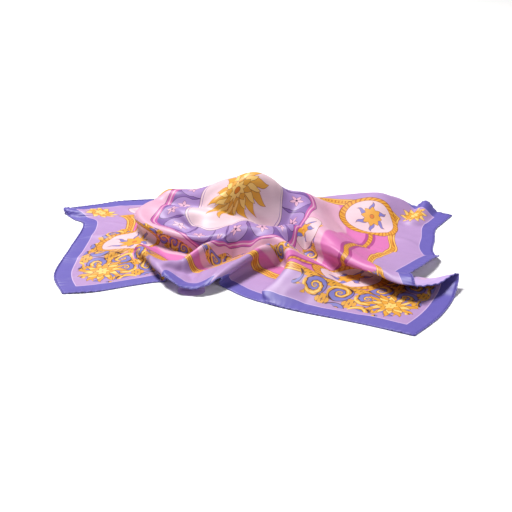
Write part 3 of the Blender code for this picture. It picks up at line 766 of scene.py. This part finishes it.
def scroll_field(under, mask, s, t, pitch):
    """Gold curls over the masked part of the cloth, none quite like its neighbour, because the rows
    they stand in sway, with blue hearts and leaves between them."""
    s, t = (s + SWAY * work("SINE", t * (2.3 / pitch) + 1.0),
            t + SWAY * work("SINE", s * (1.9 / pitch)))
    i, j = work("FLOOR", s / pitch), work("FLOOR", t / pitch)
    a, b = s - (i + 0.5) * pitch, t - (j + 0.5) * pitch
    stroke, reach = curls(a, b, pitch, parity(i + j))
    stroke = stroke + 0.03 * work("SINE", work("ARCTAN2", b, a) * 7 + reach * 30)
    inside = cover(reach - CURL_RIM, 0.03) * mask
    leaf = petals(work("ABSOLUTE", a) - pitch / 2, work("ABSOLUTE", b) - pitch / 2, 4,
                  0.001, 0.40 * pitch, 0.12 * pitch, 0.4, 0.5)
    colour = paint(under, cover(leaf - 0.0013) * mask, DARK_OCHRE)
    colour = paint(colour, cover(leaf) * mask, GOLD)
    colour = paint(colour, inside, DARK_OCHRE)
    colour = paint(colour, cover(reach - CURL_HEART, 0.03) * mask, BLUE)
    for half, soft, fill in STROKES:
        colour = paint(colour, cover(stroke - half, soft) * inside, fill)
    return colour


def corded(under, off, along, half, pitch):
    """A twisted gold cord: off is the distance from its middle line, along the way down it."""
    twist = work("SINE", along * (2 * math.pi / pitch) + off * (2.2 / half))
    across = work("ABSOLUTE", off)
    colour = paint(under, cover(across - half - 0.0009), OCHRE)
    cord = cover(across - half)
    colour = paint(colour, cord, GOLD)
    return paint(colour, cord * cover(twist + 0.35, 0.9), CORD_SHADE)


def band(under, off, half, colour, soft=SOFT):
    """A plain stripe: off is the distance from its middle line."""
    return paint(under, cover(work("ABSOLUTE", off) - half, soft), colour)


def flower(under, x, y, layers):
    """Rings of petals over one another."""
    for count, near, far, half, shift, fill in layers:
        reach = petals(x, y, count, near, far, half, shift, 0.05)
        under = outlined(under, reach, fill, 0.0010, edge=OCHRE)
    return under


def silk_print():
    """The whole design, as a node group with the colour of each place on the flat cloth."""
    def place(title):
        source = PRINT.nodes.new("ShaderNodeAttribute")
        source.attribute_name = title
        split = PRINT.nodes.new("ShaderNodeSeparateXYZ")
        PRINT.links.new(source.outputs["Vector"], split.inputs[0])
        return [Sum(s) for s in split.outputs[:2]]

    x, y = place("from_middle")
    left, right = place("from_sides")
    front, back = place("from_ends")
    cx, cy = work("MINIMUM", left, right), work("MINIMUM", front, back)
    edge = work("MINIMUM", cx, cy)
    away, turn = distance(x, y), work("ARCTAN2", y, x)

    # a pink field, paler round the middle, with a band of curls on the front half of the pale part
    colour = paint(PINK, cover(away - PALE_FIELD, 0.004), BLUSH)
    span = 2 * math.pi * GARLAND / GARLAND_CURLS
    garland = cover(work("ABSOLUTE", away - GARLAND) - span / 2, 0.001) * cover(y + 0.05, 0.001)
    colour = scroll_field(colour, garland, turn * GARLAND, away - GARLAND + span / 2, span)
    ring = away - CORD_RING
    colour = band(colour, ring, 0.012, DEEP_PINK)
    colour = corded(colour, ring, turn * CORD_RING, 0.0045, 0.011)
    # the lilac margin, with a gold braid where it meets the field
    colour = paint(colour, cover(edge - MARGIN_WIDE), LILAC)
    braid = edge - BRAID
    colour = band(colour, braid, 0.0105, OCHRE)
    colour = band(colour, braid, 0.0094, GOLD)
    colour = corded(colour, braid, left + front, 0.0040, 0.012)
    colour = band(colour, work("ABSOLUTE", braid) - 0.0070, 0.0007, PALE_GOLD)
    # the corners by the front edge: scrolls, leaves and a flower; those at the back have a sprig
    low = cover(front - CORNERS_DEEP, 0.001)
    stretch_a = distance((cx - 0.090) / 0.054, (front - 0.160) / 0.122)
    stretch_b = distance((cx - 0.150) / 0.108, (front - 0.088) / 0.050)
    ragged = (work("MINIMUM", stretch_a, stretch_b)
              + 0.10 * work("SINE", cx * 150 + 1) * work("SINE", front * 170))
    clear = cover(left - CORNERS_LEFT, 0.02) + cover(right - CORNERS_RIGHT, 0.02)
    corner = cover(ragged - 1, 0.02) * low * clear
    colour = scroll_field(colour, corner, cx - 0.004, front - 0.006, 0.047)
    px, py = cx - CORNER_FLOWER[0], front - CORNER_FLOWER[1]
    colour = paint(colour, low * cover(distance(px, py) - 0.034), BLUE)
    colour = flower(colour, px, py, SPRAY)
    colour = flower(colour, cx - CORNER_SPRIG[0], back - CORNER_SPRIG[1], SPRAY[1:])
    # ovals with a flower in each
    for x0, y0, wide, tall, tilt, count, rim in OVALS:
        c, s = math.cos(2 * math.pi * tilt), math.sin(2 * math.pi * tilt)
        px, py = x - x0, y - y0
        qx, qy = px * c + py * s, py * c - px * s
        small = min(wide, tall)
        reach = (distance(qx / wide, qy / tall) - 1) * small
        colour = outlined(colour, reach - (0.006 if rim else 0.0), CREAM, 0.0012, edge=OCHRE)
        if rim:
            bend = work("ARCTAN2", qy / tall, qx / wide)
            colour = corded(colour, reach - 0.001, bend * (wide + tall) / 2, 0.0048, 0.010)
        leaf = petals(qx, qy, 6, 0.004, small * 0.80, 0.0050, 0.5, 0.10)
        bloom = petals(qx, qy - 0.002, count, 0.003, small * 0.50, 0.0068, 0.3 * count)
        heart = distance(qx, qy - 0.002) - 0.0045
        for shape, fill in ((leaf, BLUE), (bloom, GOLD), (heart, AMBER)):
            colour = outlined(colour, shape, fill, 0.0010, edge=OCHRE)
    # the medallion: a ring of round lobes with a small flower on each, round a cream heart
    colour = outlined(colour, away - MEDALLION, MAGENTA, 0.0011)
    colour = band(colour, away - 0.1935, 0.0016, BLUSH)
    colour = outlined(colour, away - PLUM_RING, PLUM, -0.0011)
    step = 2 * math.pi / LOBES
    bend = work("FLOORED_MODULO", turn + step / 2, step) - step / 2
    mx, my = away * work("COSINE", bend) - LOBE_RING, away * work("SINE", bend)
    stalk = work("MAXIMUM", work("ABSOLUTE", my) - 0.0230, mx)
    lobe = work("MINIMUM", distance(mx / 1.15, my) - LOBE, stalk)
    colour = outlined(colour, lobe, PURPLE, 0.0012)
    colour = outlined(colour, petals(mx, my, 5, 0.001, 0.0165, 0.0036, 0.3), BLUSH, 0.0008)
    colour = paint(colour, cover(distance(mx, my) - 0.0026), DARK)
    colour = outlined(colour, away - HEART, CREAM, 0.0011)
    colour = band(colour, away - 0.1145, 0.0006, PLUM)
    colour = flower(colour, x, y, FLOWER)
    colour = outlined(colour, away - 0.0065, AMBER, 0.0010, edge=OCHRE)
    # the plain border and the thin line inside it
    colour = paint(colour, cover(edge - LINE_WIDE), BORDER_LINE)
    colour = paint(colour, cover(edge - BORDER_WIDE), BORDER)
    result = PRINT.nodes.new("NodeGroupOutput")
    PRINT.links.new(colour, result.inputs[0])


def set_inputs(node, **values):
    """Sets a node's inputs; the underscores in a name stand for the spaces in its title."""
    for title, value in values.items():
        node.inputs[title.replace("_", " ")].default_value = value


def plain_material(name, **values):
    """A material with these inputs of its shader set, and its nodes, its links and its shader."""
    made = bpy.data.materials.new(name)
    made.use_nodes = True
    shader = made.node_tree.nodes["Principled BSDF"]
    set_inputs(shader, **values)
    return made, made.node_tree.nodes, made.node_tree.links, shader


def add_bump(nodes, links, height, shader, strength, deep):
    """Fine relief in a material, from a socket with its height."""
    bump = nodes.new("ShaderNodeBump")
    set_inputs(bump, Strength=strength, Distance=deep)
    links.new(height, bump.inputs["Height"])
    links.new(bump.outputs[0], shader.inputs["Normal"])


def cloth_material(name, faded, roughness, sheen):
    """Satin silk with the print in it; faded is the share of the reverse side's plain dye."""
    made, nodes, links, shader = plain_material(
        name, Roughness=roughness, Sheen_Weight=sheen, Sheen_Roughness=0.35,
        Sheen_Tint=(0.92, 0.86, 1.0, 1), Specular_IOR_Level=0.34)
    design = nodes.new("ShaderNodeGroup")
    design.node_tree = PRINT
    fade = colour_mix(nodes)
    fade.inputs[0].default_value = faded
    fade.inputs[7].default_value = REVERSE
    links.new(design.outputs[0], fade.inputs[6])
    # slightly lighter and darker patches
    noise = nodes.new("ShaderNodeTexNoise")
    set_inputs(noise, Scale=46, Detail=4)
    level = nodes.new("ShaderNodeMapRange")
    set_inputs(level, To_Min=0.94, To_Max=1.05)
    links.new(noise.outputs["Fac"], level.inputs["Value"])
    tone = nodes.new("ShaderNodeHueSaturation")
    links.new(level.outputs[0], tone.inputs["Value"])
    links.new(fade.outputs[2], tone.inputs["Color"])
    links.new(tone.outputs[0], shader.inputs["Base Color"])
    # twill: fine diagonal lines, and slubs along the weft
    source = nodes.new("ShaderNodeAttribute")
    source.attribute_name = "from_middle"
    twill = nodes.new("ShaderNodeTexWave")
    twill.bands_direction = "DIAGONAL"
    set_inputs(twill, Scale=330)
    slub = nodes.new("ShaderNodeTexNoise")
    set_inputs(slub, Scale=900)
    stretch = nodes.new("ShaderNodeVectorMath")
    stretch.operation = "MULTIPLY"
    stretch.inputs[1].default_value = (1, 0.06, 1)
    links.new(source.outputs["Vector"], twill.inputs["Vector"])
    links.new(source.outputs["Vector"], stretch.inputs[0])
    links.new(stretch.outputs[0], slub.inputs["Vector"])
    both = nodes.new("ShaderNodeMath")
    both.operation = "MULTIPLY_ADD"
    both.inputs[1].default_value = 0.6
    links.new(slub.outputs["Fac"], both.inputs[0])
    links.new(twill.outputs["Fac"], both.inputs[2])
    add_bump(nodes, links, both.outputs[0], shader, strength=0.12, deep=0.00008)
    return made


def hem_material(name, colour, roughness, scale):
    """Plain dyed silk of the rolled edge, or its sewing thread."""
    made, nodes, links, shader = plain_material(name, Roughness=roughness, Sheen_Weight=0.15)
    noise = nodes.new("ShaderNodeTexNoise")
    set_inputs(noise, Scale=scale)
    ramp = colour_mix(nodes)
    for number, share in ((6, 0.72), (7, 1.25)):     # darker and lighter spots
        ramp.inputs[number].default_value = [min(1, c * share) for c in colour[:3]] + [1]
    links.new(noise.outputs["Fac"], ramp.inputs[0])
    links.new(ramp.outputs[2], shader.inputs["Base Color"])
    add_bump(nodes, links, noise.outputs["Fac"], shader, strength=0.25, deep=0.0002)
    return made


# ---------------------------------------------------------------- the cloth
u, v = (softened(finer(grid, CELLS), THREAD_SOFTENING) for grid in even_threads(COARSE))
flat = flat_point(u, v)
surface = np.concatenate([raised(rows) for rows in np.array_split(flat, 12)])   # to save memory
surface -= CENTRE
wide = np.linalg.norm(np.diff(surface, axis=1), axis=2).sum(1)[:, None]
tall = np.linalg.norm(np.diff(surface, axis=0), axis=2).sum(0)[None, :]
steps = np.linspace(0, 1, CELLS + 1)
share_u, share_v = np.meshgrid(steps, steps)
left, right = share_u * wide, (1 - share_u) * wide
front, back = share_v * tall, (1 - share_v) * tall
edge = np.minimum(np.minimum(left, right), np.minimum(front, back))
relief = fine_relief(share_u, share_v, edge)
surface += softened(grid_normals(surface), RELIEF_SOFTENING) * relief[..., None]
surface[..., 2] = np.maximum(surface[..., 2], SHELL + TABLE_CLEAR)
nothing = np.zeros_like(left)
values = {
    "from_sides": np.stack([left, right, nothing], axis=-1),
    "from_ends": np.stack([front + turned_under(flat[:1, :, 0], front), back, nothing], axis=-1),
    "from_middle": np.stack([(share_u - MIDDLE[0]) * MIDDLE_SCALE[0],
                             (share_v - MIDDLE[1]) * MIDDLE_SCALE[1], nothing], axis=-1),
}
PRINT = bpy.data.node_groups.new("silk_print", "ShaderNodeTree")
PRINT.interface.new_socket("Colour", in_out="OUTPUT", socket_type="NodeSocketColor")
silk_print()
printed = cloth_material("printed_satin", faded=0.0, roughness=0.45, sheen=0.12)
faded = cloth_material("satin_reverse", faded=0.78, roughness=0.48, sheen=0.10)
rolled = hem_material("rolled_hem_silk", HEM_DYE, roughness=0.45, scale=900)
thread = hem_material("sewing_thread", THREAD_DYE, roughness=0.5, scale=2500)

sheet = dressed("scarf_cloth", shell_mesh("scarf_cloth", surface, SHELL, values),
                "printed_silk", ["silk_square"], printed, faded)

normals = grid_normals(surface)
hems = [
    rolled_hem("front_rolled_hem", surface[0], normals[0], 1, "hem_front"),
    rolled_hem("back_rolled_hem", surface[-1], normals[-1], -1, "hem_back"),
    rolled_hem("left_rolled_hem", surface[:, 0], normals[:, 0], -1, "hem_left"),
    rolled_hem("right_rolled_hem", surface[:, -1], normals[:, -1], 1, "hem_right"),
]

# the lip under the flap's open end: the cloth's reverse side, turned up at its back edge
span = np.linspace(-1, 1, LIP_CELLS + 1)
s, t = np.meshgrid(span, span)
lip_s, lip_t = s * np.sqrt(1 - t * t / 2), t * np.sqrt(1 - s * s / 2)    # a square made round
lip_x, lip_y = LIP_MIDDLE[0] + LIP_SIZE[0] * lip_s, LIP_MIDDLE[1] + LIP_SIZE[1] * lip_t
lip_plan = np.stack([lip_x, lip_y], axis=-1)
above = lip_plan.copy()
for _ in range(LIP_SEARCH):
    above += 0.5 * (lip_plan - raised(above)[..., :2])
room = raised(above)[..., 2] - WALL / facing(above)[..., 2] - LIP_CLEAR - WALL
rim = np.sqrt(np.clip(1 - lip_s ** 2 - lip_t ** 2, 0, 1))
level = WALL * (LIP_RIM + (1 - LIP_RIM) * rim ** 0.5) + np.clip(room, 0, None) * smooth_step(lip_t)
level += LIP_WRINKLE * np.sin(lip_x * 310 + lip_y * 120) * rim
lip_points = np.concatenate([lip_plan, level[..., None]], axis=-1) - CENTRE
# it lies on the lilac margin by the front edge, away from the corners and the medallion
half, nothing = np.full_like(s, 0.5), np.zeros_like(s)
lip_values = {
    "from_sides": np.stack([lip_x + 0.4, half, nothing], axis=-1),
    "from_ends": np.stack([0.045 + 0.015 * (lip_t + 1), half, nothing], axis=-1),
    "from_middle": np.stack([lip_x, lip_y - 0.4, nothing], axis=-1),
}
lip = dressed("flap_lip", shell_mesh("flap_lip", lip_points, SHELL, lip_values),
              "printed_silk", ["under_fold"], faded, faded)

# the crushed layers out of sight under the heap: rings of folded edges, resting flat
turns = np.linspace(0, 2 * math.pi, BUNDLE_AROUND, endpoint=False)
levels = np.linspace(0, 1, BUNDLE_RINGS)
reach, share = (np.interp(levels, np.linspace(0, 1, len(BUNDLE_LAYERS)), column)
                for column in np.array(BUNDLE_LAYERS).T)
wrap = 1 - sum(height * (1 + np.sin(folds * turns + 6 * turn))
               for folds, turn, height in BUNDLE_RIDGES)
# below the top, the edge of each layer stands out a little from the one over it
reach = reach * (0.985 - 0.02 * np.abs(np.sin(levels * 24)) * (levels < 0.8))
ring = np.stack([np.cos(turns), np.sin(turns)], axis=1) * BUNDLE_SIZE
spots = BUNDLE_MIDDLE + ring[None] * reach[:, None, None] * wrap[None, :, None]
bundle = raised(spots) - facing(spots) * (WALL + BUNDLE_CLEAR)
bundle[..., 2] *= share[:, None]
bundle = bundle.reshape(-1, 3) - CENTRE
faces = [(r * BUNDLE_AROUND + k, r * BUNDLE_AROUND + (k + 1) % BUNDLE_AROUND,
          (r + 1) * BUNDLE_AROUND + (k + 1) % BUNDLE_AROUND, (r + 1) * BUNDLE_AROUND + k)
         for r in range(BUNDLE_RINGS - 1) for k in range(BUNDLE_AROUND)]
last = (BUNDLE_RINGS - 1) * BUNDLE_AROUND
faces += [tuple(range(BUNDLE_AROUND))[::-1], tuple(range(last, len(bundle)))]
mesh = bpy.data.meshes.new("crushed_layers")
mesh.from_pydata(bundle, [], faces)
mesh.shade_smooth()
for title, corner in (("from_sides", (0.30, 0.30, 0)), ("from_ends", (0.30, 0.30, 0)),
                      ("from_middle", (0.05, 0.40, 0))):
    keep_place(mesh, title, np.array(corner) + bundle * (1, 1, 0))
crushed = dressed("crushed_layers", mesh, "printed_silk", ["hidden_layers"], faded)

# ---------------------------------------------------------------- floor, light and camera
floor_mesh = bpy.data.meshes.new("studio_floor")
floor_mesh.from_pydata([(x * FLOOR_HALF, y * FLOOR_HALF, 0)
                        for x, y in ((-1, -1), (1, -1), (1, 1), (-1, 1))], [], [(0, 1, 2, 3)])
floor = put("studio_floor", floor_mesh)
paper = plain_material("pale_floor", Base_Color=FLOOR_WHITE, Roughness=0.8)[0]
floor_mesh.materials.append(paper)

world = bpy.data.worlds.new("studio")
bpy.context.scene.world = world
world.use_nodes = True
set_inputs(world.node_tree.nodes["Background"], Color=WORLD_WHITE, Strength=WORLD_LIGHT)

for name, spot, size, power, tint in LAMPS:
    lamp = bpy.data.lights.new(name, "AREA")
    lamp.shape = "DISK"
    lamp.size = size
    lamp.energy = power
    lamp.color = tint
    put(name, lamp, spot)

camera = bpy.data.cameras.new("photo_view")
camera.lens = CAMERA_LENS
camera.sensor_width = CAMERA_SENSOR
camera.shift_y = CAMERA_SHIFT
rise = math.radians(CAMERA_RISE)
spot = Vector(TARGET) + CAMERA_AWAY * Vector((0, -math.cos(rise), math.sin(rise)))
bpy.context.scene.camera = put("photo_view", camera, spot)
bpy.context.scene.view_settings.view_transform = "Standard"
